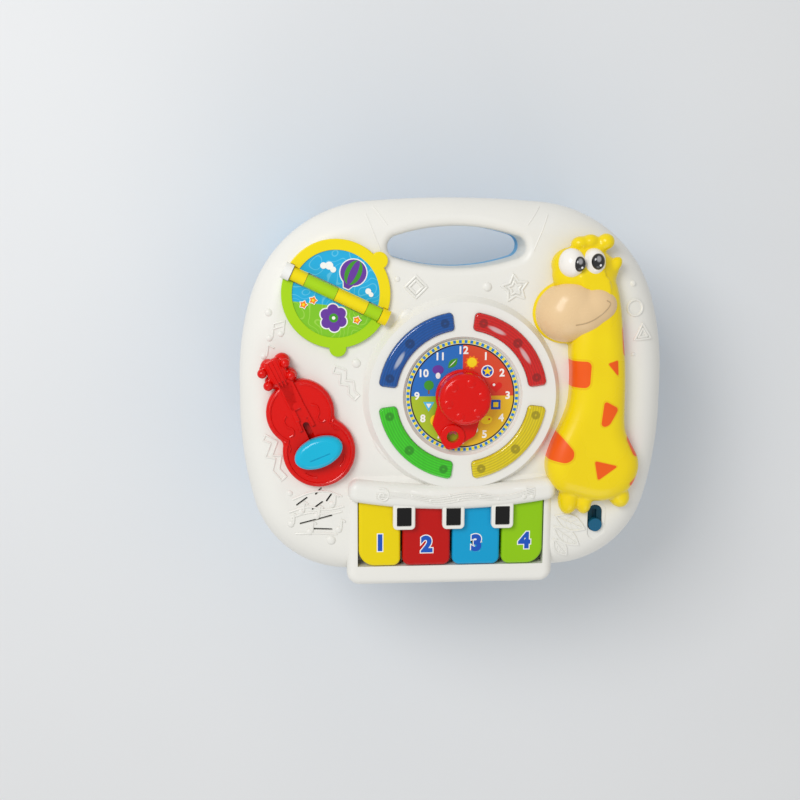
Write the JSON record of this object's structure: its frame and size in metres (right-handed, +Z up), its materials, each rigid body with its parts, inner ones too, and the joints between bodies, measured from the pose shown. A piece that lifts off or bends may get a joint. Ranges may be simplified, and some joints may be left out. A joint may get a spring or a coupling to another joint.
{
  "type": "musical activity table",
  "caption": "Toddler activity table: white shell on a light-blue tray and four legs, with a clock dial, piano keys, violin slider, flip book and giraffe.",
  "frame": {"origin": "centre of the footprint, on the floor under the four feet", "axes": "+Z up, +Y towards the carrying handle, the piano at -Y, the giraffe at +X"},
  "size_m": [0.3324, 0.3014, 0.221],
  "materials": {
    "white_shell": "smooth moulded",
    "light_blue": "smooth moulded",
    "yellow": "smooth moulded",
    "red": "smooth moulded",
    "blue": "smooth moulded",
    "green": "smooth moulded",
    "black": "smooth moulded",
    "white_part": "smooth moulded",
    "muzzle_beige": "soft sheen",
    "dial_print": "printed",
    "lens_red": "clear tinted",
    "lens_blue": "clear tinted",
    "lens_green": "clear tinted",
    "lens_yellow": "clear tinted",
    "switch_teal": "smooth moulded",
    "steel": "plated",
    "rubber_dome": "soft",
    "board_green": "lacquered",
    "chip_black": "moulded",
    "magnet": "plain",
    "cone_paper": "pressed",
    "cell_case": "plain sleeve",
    "brass_contact": "plated",
    "wire_red": "insulated",
    "lamp_clear": "clear"
  },
  "bodies": {
    "table": {"top_shell": "white_shell", "bottom_shell": "light_blue", "leg_front_left": "light_blue", "leg_front_right": "light_blue", "leg_rear_left": "light_blue", "leg_rear_right": "light_blue", "black_keys": "black", "key_pivot_rod": "steel", "key_board": "board_green", "key_dome_yellow": "rubber_dome", "key_dome_red": "rubber_dome", "key_dome_blue": "rubber_dome", "key_dome_green": "rubber_dome", "dial_plate": "dial_print", "lens_red": "lens_red", "lens_blue": "lens_blue", "lens_green": "lens_green", "lens_yellow": "lens_yellow", "lens_screws": "steel", "main_board": "board_green", "lamps": "lamp_clear", "board_parts": "chip_black", "board_screws": "steel", "speaker_basket": "steel", "speaker_magnet": "magnet", "speaker_cone": "cone_paper", "switch_body": "switch_teal", "violin_body": "red", "hinge_bracket": "white_part", "hinge_cap": "yellow", "hinge_pin": "steel", "giraffe_body": "yellow", "giraffe_muzzle": "muzzle_beige", "giraffe_eyes": "white_part", "giraffe_pupils": "black", "trim_screws": "steel", "battery_door": "light_blue", "battery_door_screw": "steel", "batteries": "cell_case", "battery_contacts": "brass_contact", "case_screws": "steel", "battery_leads": "wire_red", "speaker_leads": "wire_red"},
    "key_yellow": {"key_yellow": "yellow"},
    "key_red": {"key_red": "red"},
    "key_blue": {"key_blue": "blue"},
    "key_green": {"key_green": "green"},
    "dial_knob": {"dial_knob": "red", "detent_wheel": "white_part", "knob_screw": "steel"},
    "page_yellow": {"page_yellow": "yellow"},
    "page_green": {"page_green": "green"},
    "bow_slider": {"bow_slider": "blue", "slider_carriage": "white_part"},
    "power_switch_knob": {"power_switch_knob": "blue"}
  },
  "joints": [
    {"name": "press_key_yellow", "type": "hinge", "parent": "table", "child": "key_yellow", "pos_m": [-0.0025, -0.075, 0.1895], "axis": [1, 0, 0], "range_deg": [0, 3], "stiffness_Nm_per_rad": 0.25, "springref_deg": -3.44, "deforming": ["key_dome_yellow"]},
    {"name": "press_key_red", "type": "hinge", "parent": "table", "child": "key_red", "pos_m": [-0.0025, -0.075, 0.1895], "axis": [1, 0, 0], "range_deg": [0, 3], "stiffness_Nm_per_rad": 0.25, "springref_deg": -3.44, "deforming": ["key_dome_red"]},
    {"name": "press_key_blue", "type": "hinge", "parent": "table", "child": "key_blue", "pos_m": [-0.0025, -0.075, 0.1895], "axis": [1, 0, 0], "range_deg": [0, 3], "stiffness_Nm_per_rad": 0.25, "springref_deg": -3.44, "deforming": ["key_dome_blue"]},
    {"name": "press_key_green", "type": "hinge", "parent": "table", "child": "key_green", "pos_m": [-0.0025, -0.075, 0.1895], "axis": [1, 0, 0], "range_deg": [0, 3], "stiffness_Nm_per_rad": 0.25, "springref_deg": -3.44, "deforming": ["key_dome_green"]},
    {"name": "turn_dial_knob", "type": "hinge", "parent": "table", "child": "dial_knob", "pos_m": [0.0045, 0.001, 0.2], "axis": [0, 0, 1], "continuous": true},
    {"name": "turn_yellow_page", "type": "hinge", "parent": "table", "child": "page_yellow", "pos_m": [-0.0917, 0.0789, 0.2006], "axis": [0.9033, -0.4289, 0], "range_deg": [0, 176]},
    {"name": "turn_green_page", "type": "hinge", "parent": "table", "child": "page_green", "pos_m": [-0.0917, 0.0789, 0.2006], "axis": [-0.9033, 0.4289, 0], "range_deg": [0, 176]},
    {"name": "slide_bow", "type": "slide", "parent": "table", "child": "bow_slider", "axis": [-0.4226, 0.9063, 0], "range_m": [0, 0.0195]},
    {"name": "slide_power_switch", "type": "slide", "parent": "table", "child": "power_switch_knob", "axis": [0, 1, 0], "range_m": [0, 0.01]}
  ]
}
